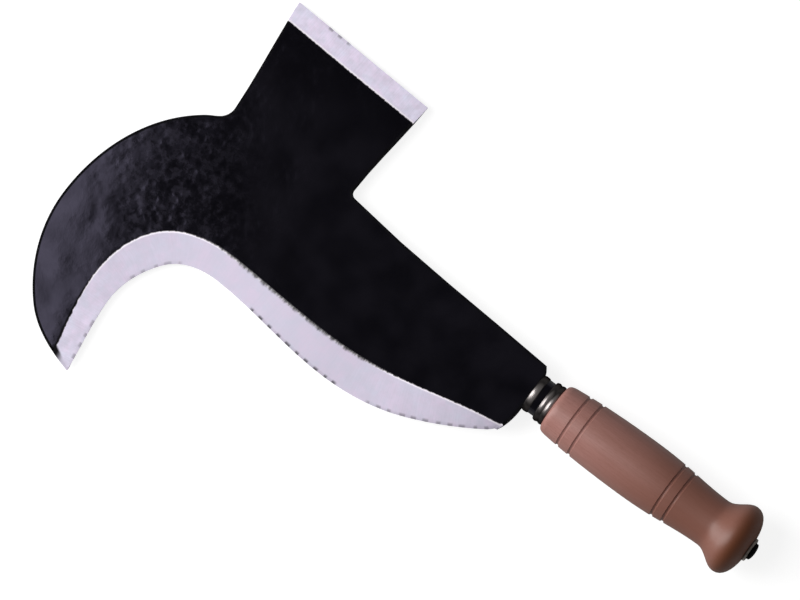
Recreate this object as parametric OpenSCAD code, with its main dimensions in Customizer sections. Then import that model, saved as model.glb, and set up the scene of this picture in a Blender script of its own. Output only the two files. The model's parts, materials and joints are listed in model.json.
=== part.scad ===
// Billhook with an axe back, lying on a flat surface.
// The tool is drawn along X with its blade in the XY plane: the shoulders of the blade are at X = 0, the
// hook points to +X, the handle to -X, the cutting edge faces +Y and the axe bit -Y. lay_down() then rests
// it on its handle, its axe bit and its crown, with the middle of its footprint at the origin.

/* [Blade] */
// Length from the shoulders to the crown of the hook
blade_len = 249; // [225:1:300]
// Thickness of the steel at the shoulders
neck_t = 6; // [5:0.1:8]
// Thickness of the steel at the crown
crown_t = 4.4; // [3:0.1:5]
// Width across the shoulders
shoulder_w = 21; // [18:0.5:23]
// Distance from the handle's axis to the deepest point of the belly
belly_y = 55.5; // [50:0.5:64]
// Distance from the shoulders to the deepest point of the belly
belly_x = 88; // [70:1:100]
// Distance from the handle's axis to the throat of the hook
throat_y = 48; // [42:0.5:54]
// Distance from the crown back to the throat
throat_back = 88.5; // [82:0.5:100]
// Distance from the handle's axis to the tip of the beak
beak_y = 128.5; // [115:0.5:145]
// Distance from the crown back to the tip of the beak
tip_back = 54; // [48:0.5:60]
// Width of the beak across its middle
beak_w = 50; // [46:0.5:56]

/* [Grinding] */
// Width of the ground bevel at the belly
belly_bevel = 18; // [12:0.5:22]
// Width of the ground bevel in the throat
throat_bevel = 15; // [10:0.5:18]
// Width of the ground bevel along the beak
beak_bevel = 14; // [8:0.5:18]
// Width of the ground bevel at the heel
heel_bevel = 3.4; // [2:0.1:6]
// Width of the ground bevel on the axe bit
axe_bevel = 11.2; // [8:0.1:15]
// Thickness left at the cutting edges
edge_t = 0.6; // [0.4:0.1:1.2]

/* [Axe bit] */
// Width of the axe bit at its root
axe_root_w = 71.5; // [60:0.5:80]
// Width of the axe bit at its edge
axe_edge_w = 83.4; // [77:0.1:95]
// Distance from the handle's axis to the middle of the axe's edge
axe_reach = 86; // [70:0.5:100]
// Lead of the edge's front corner over its rear corner
axe_lead = 5; // [0:0.5:8]
// Distance from the crown back to the front of the axe bit
axe_back = 45.4; // [41:0.1:50]
// Radius of the corner between the axe bit and the back
rear_fillet = 3; // [1:0.5:8]
// Radius of the corner between the axe bit and the crown
front_fillet = 9; // [4:0.5:14]

/* [Back and heel] */
// Distance from the handle's axis to the back at the shoulders
back_y = 14.3; // [12.5:0.1:17]
// Distance from the handle's axis to the back at the axe bit
root_y = 25.7; // [22:0.1:29]
// Distance from the shoulders to the heel of the cutting edge
heel_x = 3.4; // [2.5:0.1:6]
// Distance from the handle's axis to the heel of the cutting edge
heel_y = 25.8; // [24:0.1:29]

/* [Tang] */
// Width of the tang at the shoulders
tang_w = 13; // [10:0.5:15]
// Width of the tang where it turns round
tang_end_w = 7; // [6.5:0.1:8]
// Thickness of the tang
tang_t = 5.4; // [4.5:0.1:6]
// Length of the flat tang
tang_len = 92; // [70:1:105]
// Diameter of the tang's round tail
tail_d = 5; // [4:0.1:5.6]
// Diameter of the peened head on the tail
head_d = 9.2; // [8:0.1:11]
// Height of the peened head
head_h = 2.3; // [1.5:0.1:4]
// Clearance round the tang and its tail
tang_clear = 0.2; // [0.1:0.05:0.5]

/* [Collar and ferrule] */
// Length of the collar with its neck
collar_l = 7.4; // [6:0.1:10]
// Length of the ring at the front of the collar
ring_l = 3.8; // [2:0.1:5]
// Diameter of the collar's ring
collar_d = 20.8; // [18:0.1:22]
// Drop from the crest of the ring to the collar's neck
collar_drop = 0.6; // [0.3:0.1:1.2]
// Length of the ferrule
ferrule_l = 5.7; // [5:0.1:14]
// Diameter of the ferrule over its beads
ferrule_d = 22.6; // [21:0.1:25]
// Depth of the valley between the beads
bead_depth = 0.5; // [0.3:0.05:0.7]
// Thickness of the ferrule's wall at the valleys
ferrule_wall = 1; // [0.6:0.1:1.4]
// Clearance between the ferrule and the handle's tenon
ferrule_clear = 0.1; // [0.05:0.05:0.3]

/* [Handle] */
// Length of the handle without its tenon
handle_len = 119.9; // [114:0.1:140]
// Diameter just behind the ferrule
front_d = 28; // [27:0.5:30]
// Diameter of the swell under the palm
grip_d = 32.2; // [30:0.2:35]
// Diameter of the waist before the pommel
waist_d = 26.6; // [25:0.2:29]
// Diameter of the pommel
pommel_d = 38.9; // [35:0.1:44]
// Distance from the butt to the widest part of the pommel
pommel_back = 8.5; // [6:0.5:10]
// Distance from the butt to the waist
waist_back = 22; // [19:0.5:25]
// Diameter of the flat seat at the butt
seat_d = 15; // [14.5:0.5:18]
// Distance from the front of the handle to its first groove
front_groove = 12.1; // [9:0.1:16]
// Distance from the butt to its last groove
rear_groove = 43; // [38:0.1:48]
// Distance between the two grooves of the front pair
front_gap = 7.4; // [5:0.1:9]
// Distance between the two grooves of the rear pair
rear_gap = 6.3; // [4:0.1:8]
// Width of a groove's round cutter
groove_w = 2; // [1.4:0.1:3]
// Depth of a groove
groove_depth = 0.7; // [0.3:0.05:1]

/* [Washer] */
// Outer diameter of the washer at the butt
washer_d = 13; // [11:0.1:14]
// Thickness of the washer
washer_t = 1.5; // [1:0.1:2.5]

/* [Hidden] */
// Facets of the turned pieces
turned_fn = 96;
// Steps along one stretch of a curve
curve_steps = 8;
// Steps round a fillet
fillet_steps = 6;
// Overrun of a cut past the surface that it trims
overrun = 1;
// Straight part of the peened head, as a share of its height
head_land = 0.45;
// Rise of the finished grinding past the bevel line, as a share of the bevel's width
bevel_rise = 0.1;

// Unit vector at an angle in degrees
function heading(a) = [cos(a), sin(a)];

// Handle length of a cubic curve that turns through an angle, as a share of its chord
function reach(turn) = turn < 1 ? 1 / 3 : 2 / 3 * tan(turn / 4) / sin(turn / 2);

// Point of a cubic curve at t
function cubic(a, b, c, d, t) =
    pow(1 - t, 3) * a + 3 * pow(1 - t, 2) * t * b + 3 * (1 - t) * t * t * c + t * t * t * d;

// Points of the curve between two knots, each [x, y, heading], without the last point
function stretch(p, q, steps = curve_steps) =
    let (
        a = [p.x, p.y],
        d = [q.x, q.y],
        arm = norm(d - a) * reach(abs(q[2] - p[2])),
        b = a + arm * heading(p[2]),
        c = d - arm * heading(q[2])
    ) [for (i = [0 : steps - 1]) cubic(a, b, c, d, i / steps)];

// Smooth curve through a list of knots
function smooth_path(knots) = concat(
    [for (i = [0 : len(knots) - 2]) each stretch(knots[i], knots[i + 1])],
    [[knots[len(knots) - 1].x, knots[len(knots) - 1].y]]
);

// Arc of radius r in the corner at b of the line from a to c
function fillet(a, b, c, r) =
    let (
        u = (a - b) / norm(a - b),
        v = (c - b) / norm(c - b),
        half = acos(u * v) / 2,
        back = r / tan(half),
        mid = b + (u + v) / norm(u + v) * r / sin(half),
        from = b + u * back - mid,
        a0 = atan2(from.y, from.x),
        to = b + v * back - mid,
        a1 = atan2(to.y, to.x),
        sweep = (a1 - a0 + 540) % 360 - 180
    ) [for (i = [0 : fillet_steps]) mid + r * heading(a0 + sweep * i / fillet_steps)];

// Thickness of the blade at a distance from the shoulders
function plate_t(x) = neck_t + (crown_t - neck_t) * x / blade_len;

// Corners at the two ends of the cutting edge
heel = [heel_x, heel_y];
tip = [blade_len - tip_back, beak_y];
// Halfway point between the heel and the belly, which has most of the rise behind it
rise_share = 0.756;
rise_x = (heel_x + belly_x) / 2;
rise_y = heel_y + (belly_y - heel_y) * rise_share;
// Innermost corner of the hook, between the throat and the beak
bay_lead = 8;
bay_fall = 10.5;
bay_x = blade_len - (throat_back + beak_w) / 2 + bay_lead;
bay_y = throat_y + bay_fall;
// Middle of the beak's inner side
beak_mid_y = (throat_y + beak_y) / 2 + 1;
// Knots along the cutting edge from the heel to the tip, each [x, y, heading in degrees]
edge_knots = [
    [heel.x, heel.y, 35],
    [rise_x, rise_y, 21],
    [belly_x, belly_y, 0],
    [blade_len - throat_back, throat_y, -2],
    [bay_x, bay_y, 52],
    [blade_len - beak_w, beak_mid_y, 91],
    [tip.x, tip.y, 95]
];
// The grinding starts a little ahead of the belly and behind the middle of the beak, and runs out at the tip
rise_bevel_share = 0.97;
rise_bevel = belly_bevel * rise_bevel_share;
heel_lead = 0.6;
belly_lead = 8;
bay_slant = [0.72, -0.95];
beak_lag = 4;
tip_share = 0.79;
// Knots along the line where the grinding starts, opposite those of the edge
line_knots = [
    [heel.x + heel_lead, heel.y - heel_bevel, 6],
    [rise_x, rise_y - rise_bevel, 13],
    [belly_x + belly_lead, belly_y - belly_bevel, 1],
    [blade_len - throat_back, throat_y - throat_bevel, -1],
    [bay_x + throat_bevel * bay_slant.x, bay_y + throat_bevel * bay_slant.y, 42],
    [blade_len - beak_w + beak_bevel, beak_mid_y - beak_lag, 91],
    [tip.x + beak_bevel * tip_share, tip.y - 1, 102]
];
edge = smooth_path(edge_knots);
line = smooth_path(line_knots);

// Corners of the axe bit
axe_front_x = blade_len - axe_back;
axe_rear_x = axe_front_x - axe_root_w;
axe_flare = (axe_edge_w - axe_root_w) / 2;
front_corner = [axe_front_x + axe_flare, -axe_reach - axe_lead / 2];
rear_corner = [axe_rear_x - axe_flare, -axe_reach + axe_lead / 2];
rear_root = [axe_rear_x, -root_y];

// Knots along the crown, from the corner at the axe bit to the tip of the beak
crown_lead = 4;
crown_root = [axe_front_x, -root_y + crown_lead];
crown_turn = [0.38 * tip_back, 17.5];
crown_knots = [
    [crown_root.x, crown_root.y, 26],
    [blade_len, (crown_root.y + beak_y) / 2 + crown_lead, 89],
    [blade_len - crown_turn.x, beak_y - crown_turn.y, 132],
    [tip.x, tip.y, 165]
];
crown = smooth_path(crown_knots);

// Line of the heel from the shoulders to the cutting edge
shoulder = [0, shoulder_w / 2];
heel_line = stretch([shoulder.x, shoulder.y, 90], [heel.x, heel.y, 65], fillet_steps);
// Corner between the shoulders and the back
back_slant = 0.6;
back_corner = [(back_y - shoulder_w / 2) * back_slant, -back_y];

outline = concat(
    heel_line,
    edge,
    [for (i = [len(crown) - 2 : -1 : 1]) crown[i]],
    fillet(crown[1], crown_root, front_corner, front_fillet),
    [front_corner, rear_corner],
    fillet(rear_corner, rear_root, back_corner, rear_fillet),
    [back_corner, [shoulder.x, -shoulder.y]]
);

// Places along the handle's axis
ferrule_x = -collar_l;
handle_x = ferrule_x - ferrule_l;
butt_x = handle_x - handle_len;
head_x = butt_x - washer_t;
tail_end = head_x - head_h;

// Radius of the handle's tenon inside the ferrule
tenon_r = ferrule_d / 2 - bead_depth - ferrule_wall - ferrule_clear;
// Length of the rounding at the front of the handle and its step above the ferrule
front_round = 4;
front_step = 0.4;
// Place of the swell along the handle, and how much of it is left between the rear grooves
swell_share = 0.42;
swell_left = 0.62;
// Knots of the handle's profile, each [distance from its front, radius, heading in degrees]
handle_knots = [
    [0, ferrule_d / 2 + front_step, 75],
    [front_round, front_d / 2, 6],
    [handle_len * swell_share, grip_d / 2, 0],
    [handle_len - rear_groove - rear_gap / 2, (waist_d + (grip_d - waist_d) * swell_left) / 2, -6],
    [handle_len - waist_back, waist_d / 2, 0],
    [handle_len - pommel_back, pommel_d / 2, 0],
    [handle_len, seat_d / 2, -84]
];
profile = smooth_path(handle_knots);
grooves = [
    front_groove,
    front_groove + front_gap,
    handle_len - rear_groove - rear_gap,
    handle_len - rear_groove
];

// The tool rests on its handle and on a line from the axe bit's front corner to the crown. That line's
// slope is the greatest one from the corner to any point of the crown, and the tilt is the greatest one
// from that line to any ring of the handle.
foot = front_corner + (crown_root - front_corner) * axe_bevel / norm(crown_root - front_corner);
foot_t = plate_t(foot.x);
foot_slope = max([for (p = crown) (p.x - foot.x) / (p.y - foot.y)]);
lay_axis = [foot_slope, 1] / norm([foot_slope, 1]);
lay_across = [lay_axis.y, -lay_axis.x];
foot_across = foot * lay_across;
tilt = max([for (p = profile)
    atan((p.y - foot_t / 2) / (foot_across - (handle_x - p.x) * lay_across.x))]);
lift = foot_across * sin(tilt) + foot_t / 2 * cos(tilt);
// Place on the surface of a point of the blade's middle plane
function laid(p) = p * lay_axis * lay_axis + p * lay_across * cos(tilt) * lay_across;
laid_outline = [for (p = outline) laid(p)];
laid_tail = laid([tail_end, 0]);
middle = [
    (max([for (p = laid_outline) p.x]) + laid_tail.x) / 2,
    (max([for (p = laid_outline) p.y]) + min([for (p = laid_outline) p.y])) / 2
];

// Rests a piece of the tool on the surface
module lay_down() {
    translate([-middle.x, -middle.y, lift])
        rotate(a = tilt, v = [lay_axis.x, lay_axis.y, 0])
            children();
}

// Revolves a profile of [distance towards the butt, radius] about the handle's axis
module turned(x) {
    translate([x, 0, 0])
        rotate([0, -90, 0])
            rotate_extrude($fn = turned_fn)
                children();
}

// Forged plate of the blade, which thins from the shoulders to the crown
module plate() {
    far = blade_len + overrun;
    intersection() {
        linear_extrude(height = neck_t + overrun, center = true)
            polygon(outline);
        rotate([90, 0, 0])
            linear_extrude(height = 2 * (beak_y + axe_reach), center = true)
                polygon([
                    [-overrun, -plate_t(-overrun) / 2],
                    [far, -plate_t(far) / 2],
                    [far, plate_t(far) / 2],
                    [-overrun, plate_t(-overrun) / 2]
                ]);
    }
}

// Flat tang, with a clearance all round when it cuts its own hole
module flat_tang(clear = 0) {
    root = overrun + clear;
    linear_extrude(height = tang_t + 2 * clear, center = true)
        polygon([
            [root, tang_w / 2 + clear],
            [-tang_len - clear, tang_end_w / 2 + clear],
            [-tang_len - clear, -tang_end_w / 2 - clear],
            [root, -tang_w / 2 - clear]
        ]);
}

// Round tail of the tang, from the flat tang to a place past the butt
module tail(end, clear = 0) {
    translate([-tang_len + overrun, 0, 0])
        rotate([0, -90, 0])
            cylinder(h = -tang_len + overrun - end, d = tail_d + 2 * clear, $fn = turned_fn);
}

// Peened head, domed over the washer
module peened_head() {
    land = head_h * head_land;
    turned(head_x)
        polygon(concat(
            [[0, 0], [head_d / 2, 0]],
            [for (i = [0 : fillet_steps])
                let (a = 90 * i / fillet_steps)
                [head_d / 2 * cos(a), land + (head_h - land) * sin(a)]]
        ));
}

// Wedge of steel that grinding takes off one cheek, between the cutting edge and the bevel line
module ground_off(edge_pts, line_pts) {
    count = len(edge_pts);
    // Corners of the wedge at each station: inner and outer end of the ground face, and above the outer end
    corners = [for (i = [0 : count - 1])
        let (
            e = edge_pts[i],
            b = line_pts[i],
            fall = plate_t(b.x) / 2 - edge_t / 2,
            out = overrun / norm(e - b),
            inner = b - (e - b) * bevel_rise,
            outer = e + (e - b) * out,
            top = plate_t(b.x) / 2 + fall * bevel_rise
        ) each [
            [inner.x, inner.y, top],
            [outer.x, outer.y, edge_t / 2 - fall * out],
            [outer.x, outer.y, top + overrun]
        ]
    ];
    last = 3 * (count - 1);
    sides = [for (i = [0 : count - 2])
        for (j = [0 : 2])
            let (
                a = 3 * i + j,
                b = 3 * i + (j + 1) % 3
            ) each [[a, b + 3, b], [a, a + 3, b + 3]]
    ];
    polyhedron(corners, concat(sides, [[0, 1, 2], [last, last + 2, last + 1]]));
}

// List of stations with one more, straight on, at each end
function run_out(pts, far) =
    let (
        n = len(pts),
        first = pts[0] - pts[1],
        final = pts[n - 1] - pts[n - 2]
    ) concat(
        [pts[0] + first / norm(first) * far],
        pts,
        [pts[n - 1] + final / norm(final) * far]
    );

// Grinding of the hook and of the axe bit on one cheek
module grinding() {
    ground_off(run_out(edge, 3 * overrun), run_out(line, 3 * overrun));
    lift_in = [0, axe_bevel];
    axe_edge = [front_corner, rear_corner];
    ground_off(run_out(axe_edge, 3 * overrun), run_out([for (p = axe_edge) p + lift_in], 3 * overrun));
}

// Hook, axe bit, tang, tail and peened head, forged from one bar and ground on both cheeks
module blade() {
    color([0.1, 0.1, 0.12])
        lay_down() {
            difference() {
                plate();
                grinding();
                mirror([0, 0, 1])
                    grinding();
            }
            flat_tang();
            tail(head_x - overrun / 2);
            peened_head();
        }
}

// Turned bolster that the shoulders of the blade bear on: a ring and a plain neck
module collar() {
    neck = collar_d / 2 - collar_drop;
    color([0.78, 0.77, 0.76])
        lay_down()
            difference() {
                turned(0)
                    polygon(concat(
                        [[0, 0]],
                        [for (i = [0 : 2 * fillet_steps])
                            let (s = i / fillet_steps - 1)
                            [neck + collar_drop * sqrt(1 - s * s), ring_l * i / fillet_steps / 2]],
                        [[neck, collar_l], [0, collar_l]]
                    ));
                flat_tang(tang_clear);
            }
}

// Drawn tube with two rolled beads, on the handle's tenon
module ferrule() {
    valley = ferrule_d / 2 - bead_depth;
    bead_l = ferrule_l / 2;
    color([0.8, 0.78, 0.76])
        lay_down()
            turned(ferrule_x)
                polygon(concat(
                    [[tenon_r + ferrule_clear, 0]],
                    [for (bead = [0, 1])
                        for (i = [0 : fillet_steps + 2])
                            let (s = i / (fillet_steps + 2))
                            [valley + bead_depth * sin(180 * s), bead_l * (bead + s)]],
                    [[tenon_r + ferrule_clear, ferrule_l]]
                ));
}

// Turned wooden grip with its tenon, grooves and the hole for the tang
module handle() {
    color([0.6, 0.44, 0.4])
        lay_down()
            difference() {
                union() {
                    turned(handle_x)
                        polygon(concat(
                            [[0, 0]],
                            [for (p = profile) [p.y, p.x]],
                            [[0, handle_len]]
                        ));
                    translate([ferrule_x, 0, 0])
                        rotate([0, -90, 0])
                            cylinder(h = ferrule_l + overrun, r = tenon_r, $fn = turned_fn);
                }
                for (g = grooves)
                    turned(handle_x)
                        translate([lookup(g, profile) + groove_w / 2 - groove_depth, g])
                            circle(d = groove_w, $fn = turned_fn / 4);
                flat_tang(tang_clear);
                tail(butt_x - overrun, tang_clear);
            }
}

// Washer that the tail is peened over
module butt_washer() {
    hole_d = tail_d + 2 * tang_clear;
    color([0.45, 0.44, 0.44])
        lay_down()
            translate([butt_x, 0, 0])
                rotate([0, -90, 0])
                    difference() {
                        cylinder(h = washer_t, d = washer_d, $fn = turned_fn);
                        translate([0, 0, -overrun])
                            cylinder(h = washer_t + 2 * overrun, d = hole_d, $fn = turned_fn);
                    }
}

blade();
collar();
ferrule();
handle();
butt_washer();
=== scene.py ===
import json
import math

import bmesh
import bpy
from bpy.props import FloatProperty, FloatVectorProperty, PointerProperty
from mathutils import Matrix, Vector, geometry


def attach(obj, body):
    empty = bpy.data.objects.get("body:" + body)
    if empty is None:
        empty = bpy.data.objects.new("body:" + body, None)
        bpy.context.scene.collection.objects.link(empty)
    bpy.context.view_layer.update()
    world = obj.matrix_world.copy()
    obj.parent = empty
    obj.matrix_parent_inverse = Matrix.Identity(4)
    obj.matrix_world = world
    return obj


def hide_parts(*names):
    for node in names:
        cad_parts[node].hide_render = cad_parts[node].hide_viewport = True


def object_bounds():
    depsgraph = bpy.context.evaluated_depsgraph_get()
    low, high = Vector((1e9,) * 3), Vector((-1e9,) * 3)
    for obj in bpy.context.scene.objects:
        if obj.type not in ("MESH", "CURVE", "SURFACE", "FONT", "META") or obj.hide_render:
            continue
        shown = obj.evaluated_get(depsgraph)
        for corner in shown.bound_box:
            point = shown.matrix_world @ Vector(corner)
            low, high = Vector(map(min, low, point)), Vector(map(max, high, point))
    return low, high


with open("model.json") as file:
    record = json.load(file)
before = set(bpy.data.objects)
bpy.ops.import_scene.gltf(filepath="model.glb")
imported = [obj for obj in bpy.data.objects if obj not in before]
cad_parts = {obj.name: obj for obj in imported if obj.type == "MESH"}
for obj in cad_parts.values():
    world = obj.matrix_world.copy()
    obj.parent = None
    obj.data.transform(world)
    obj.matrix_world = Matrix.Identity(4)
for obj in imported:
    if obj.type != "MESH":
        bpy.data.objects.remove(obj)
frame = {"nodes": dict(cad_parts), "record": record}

bl_info = {
    "name": "Billhook finishes",
    "version": (1, 0, 0),
    "blender": (4, 5, 0),
    "location": "View3D > Sidebar > Billhook",
    "description": "Dresses the billhook: forged and ground blade, turned wood, polished fittings "
                   "and a stage",
    "category": "Object",
}

# Box of the bare solids, before anything is dressed.
CAD_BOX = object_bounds()

# Vertices closer than this are one, in metres.
MERGE = 1e-6
# Faces that turn by less than this are one flat face.
FLAT = math.radians(0.17)
# Edges that turn by more than this stay sharp.
SHARP = math.radians(32)
# Cosines that tell the flat cheeks, the ground bevels and the walls of the blade apart.
CHEEK_UP = 0.9997
GROUND_UP = 0.7
# Half height of the flat at a cutting edge, with a margin, in metres.
EDGE_FLAT = 0.0006
# Materials of the blade, by their place in its list.
LACQUERED, GROUND, SPINE = 0, 1, 2
# Material of the collar's neck. It has the place of the ground steel, so that its border is sharp too.
NECK = GROUND
# Walls of a turned piece that lean by less than this are plain cylinders.
CYLINDER = 0.01
# Pieces that each facet of the spine's outline is cut into, and the shortest facet that is cut, in metres.
CUTS, LONG_FACET = 4, 0.002
# Passes that even out the bevel lines.
LINE_PASSES = 10
# The beak's tip lies beyond this, across in the tool frame.
TIP_ACROSS = 0.1
# Distance that stands for out of reach, in metres.
FAR = 1.0
# Rings of a turned piece closer than this are one, in metres along the axis.
RING_GAP = 5e-6
# Profiles that turn by more than this keep the corner.
CORNER = math.radians(40)
# Radii under this share of a fitting's end belong to its bore.
BORE_SHARE = 0.95
# Facets round a fitting that is turned anew, and steps of each line of its profile.
FACETS, PROFILE_STEPS = 160, 5
# How far from a groove its neighbours lie, and how deep it is under them, in metres.
GROOVE_REACH, GROOVE_LEAST, GROOVE_MOST = 0.002, 0.0004, 0.003

# UV maps of the bevels: along the edge, with a distance from one of their borders.
FROM_LINE = "from the bevel line"
FROM_EDGE = "from the cutting edge"
FROM_BACK = "from the back of the beak"
# The axe bit's edge is laid out this far from that of the hook, in metres along.
AXE_SHIFT = -1.0
# Where stretches of the edges softly end or start, in metres along: axe bit and beak, whose grinding is
# painted brighter as painted light, and lacquered tip.
AXE_END = (-0.5, -0.4)
BEAK_START = (0.2, 0.26)
TIP_START = (0.215, 0.245)
# Soft start and end of the dullest grinding and of the frayed lacquer, in metres along.
DULLEST = (0.05, 0.1), (0.16, 0.21)
FRAYED = (0.05, 0.09), (0.15, 0.19)
# Stretches of the cutting edges with painted shade, in dark dashes along the edge: from and to in metres
# along, with the shade's strength.
SHADED_EDGE = (
    (0.0, 0.066, 0.6),
    (0.087, 0.141, 0.95),
    (0.186, 0.212, 0.45),
    (0.238, 0.262, 0.5),
    (-0.948, -0.936, 0.6),
)
# Distance from dash to dash of the painted edge shade, and how softly a shaded stretch ends, in metres.
DASH_STEP, DASH_FADE = 0.0062, 0.003
# Soft start and end of the pits along the cheeks, and their soft end across, in metres.
PITTED = (0.1, 0.16), (0.2, 0.23)
PITS_END = (0.03, 0.065)
# Soft end of the painted shade on the axe bit, where less scale shows, across in metres.
AXE_SHADE_END = (-0.075, -0.035)
# Soft start and end of the worn crown, in metres round the hook, and the share of the way across in them.
WORN = (0.15, 0.235), (0.245, 0.27)
ROUND_SHARE = 0.73
# Heights of the lacquer's waves, patches, pits and fine grain, in metres.
WAVE_HEIGHT, PATCH_HEIGHT, PIT_HEIGHT, FINE_HEIGHT = 0.0001, 0.000007, 0.00002, 0.000002
# Radius at which the polishing lines of the fittings are laid out, in metres.
FITTING_RADIUS = 0.011
# Soft ends of the end grain, which is darkened partly as painted shade, and of the dark rear of the handle,
# in metres from the butt.
END_GRAIN_AND_SHADE = (0.005, 0.014)
REAR = (0.03, 0.118)

# Point that the key light faces, along and across in the tool frame.
LIT_ALONG, LIT_ACROSS = 0.0811, 0.0021
# Half width of the floor in metres, width of the sensor in millimetres, and reach of the camera in metres.
FLOOR_SIZE, SENSOR_WIDTH, CAMERA_REACH = 4.0, 36.0, 50.0
WHITE = (1.0, 1.0, 1.0, 1.0)


def mount(name):
    """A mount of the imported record, by name."""
    return next(m for m in frame["record"]["mounts"] if m["name"] == name)


def axes_matrix(x, y, z, origin):
    """Matrix of a frame with these axes and this origin."""
    matrix = Matrix((x, y, z)).transposed().to_4x4()
    matrix.translation = origin
    return matrix


def tool_matrix():
    """Tool frame in the row frame: X along the handle to the hook, Y to the cutting edge, Z out of the
    upper cheek, from the point where the handle's axis meets the blade's shoulders."""
    grip = mount("grip")
    along = Vector(grip["axis"]).normalized()
    out = Vector(mount("cheek_upper")["axis"]) - Vector(mount("cheek_lower")["axis"])
    up = (out - out.project(along)).normalized()
    spot = Vector(grip["pos_m"])
    collar = frame["nodes"]["collar"].data.vertices
    reach = max((v.co - spot).dot(along) for v in collar)
    return axes_matrix(along, up.cross(along), up, spot + along * reach)


TOOL = tool_matrix()
BENCH = TOOL.inverted()


class BillhookSizes(bpy.types.PropertyGroup):
    """Sizes of the finish."""

    spine_round: FloatProperty(
        name="Spine rounding", description="Radius of the edges between the cheeks and the spine",
        default=0.0004, min=0.0001, max=0.001, unit="LENGTH",
    )
    # The dull rim is painted shade along the spine.
    rim: FloatProperty(
        name="Dull rim", description="Width of the dull strip of the cheeks along the spine",
        default=0.0013, min=0.0001, max=0.0015, unit="LENGTH",
    )
    washer_round: FloatProperty(
        name="Washer rounding", description="Radius of the washer's edges",
        default=0.0006, min=0.0001, max=0.0007, unit="LENGTH",
    )
    fray: FloatProperty(
        name="Frayed lacquer", description="Reach of the black lacquer's teeth over the belly's grinding",
        default=0.0014, min=0.0, max=0.005, unit="LENGTH",
    )
    neat: FloatProperty(
        name="Neat lacquer", description="Reach of the lacquer's teeth where the grinding starts neatly",
        default=0.0005, min=0.0, max=0.003, unit="LENGTH",
    )
    pit: FloatProperty(
        name="Forge pits", description="Size of the pits that forging left in the cheeks",
        default=0.0036, min=0.001, max=0.01, unit="LENGTH",
    )
    grain: FloatProperty(
        name="Grain", description="Width of the wood's grain lines",
        default=0.0009, min=0.0002, max=0.004, unit="LENGTH",
    )
    groove_mark: FloatProperty(
        name="Groove mark", description="Half width of the dark mark in a turned groove",
        default=0.0009, min=0.0002, max=0.002, unit="LENGTH",
    )


class BillhookColours(bpy.types.PropertyGroup):
    """Colours of the finishes."""

    lacquer: FloatVectorProperty(
        name="Lacquer", description="Black lacquer on the forging", subtype="COLOR", size=3,
        default=(0.0004, 0.0004, 0.0006), min=0.0, max=1.0,
    )
    scale: FloatVectorProperty(
        name="Forge scale", description="Scale that shows through thin lacquer", subtype="COLOR", size=3,
        default=(0.005, 0.0046, 0.0064), min=0.0, max=1.0,
    )
    steel: FloatVectorProperty(
        name="Ground steel", description="Freshly ground steel", subtype="COLOR", size=3,
        default=(0.674, 0.631, 0.757), min=0.0, max=1.0,
    )
    plating: FloatVectorProperty(
        name="Plating", description="Polished plating of the collar and ferrule", subtype="COLOR", size=3,
        default=(0.38, 0.345, 0.338), min=0.0, max=1.0,
    )
    washer: FloatVectorProperty(
        name="Washer", description="Plain steel of the washer", subtype="COLOR", size=3,
        default=(0.42, 0.37, 0.33), min=0.0, max=1.0,
    )
    wood: FloatVectorProperty(
        name="Wood", description="Lacquered beech", subtype="COLOR", size=3,
        default=(0.393, 0.192, 0.167), min=0.0, max=1.0,
    )
    late_wood: FloatVectorProperty(
        name="Late wood", description="Dark grain and flecks of the beech", subtype="COLOR", size=3,
        default=(0.194, 0.074, 0.048), min=0.0, max=1.0,
    )
    # Partly painted shade: the pommel's end grain is coloured darker where it turns from the key light.
    end_grain: FloatVectorProperty(
        name="End grain", description="End grain of the pommel", subtype="COLOR", size=3,
        default=(0.13, 0.034, 0.006), min=0.0, max=1.0,
    )
    # Painted shade in the turned grooves: this colour darkens them.
    groove: FloatVectorProperty(
        name="Groove", description="Dirt and lacquer in the turned grooves", subtype="COLOR", size=3,
        default=(0.16, 0.066, 0.054), min=0.0, max=1.0,
    )


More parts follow.
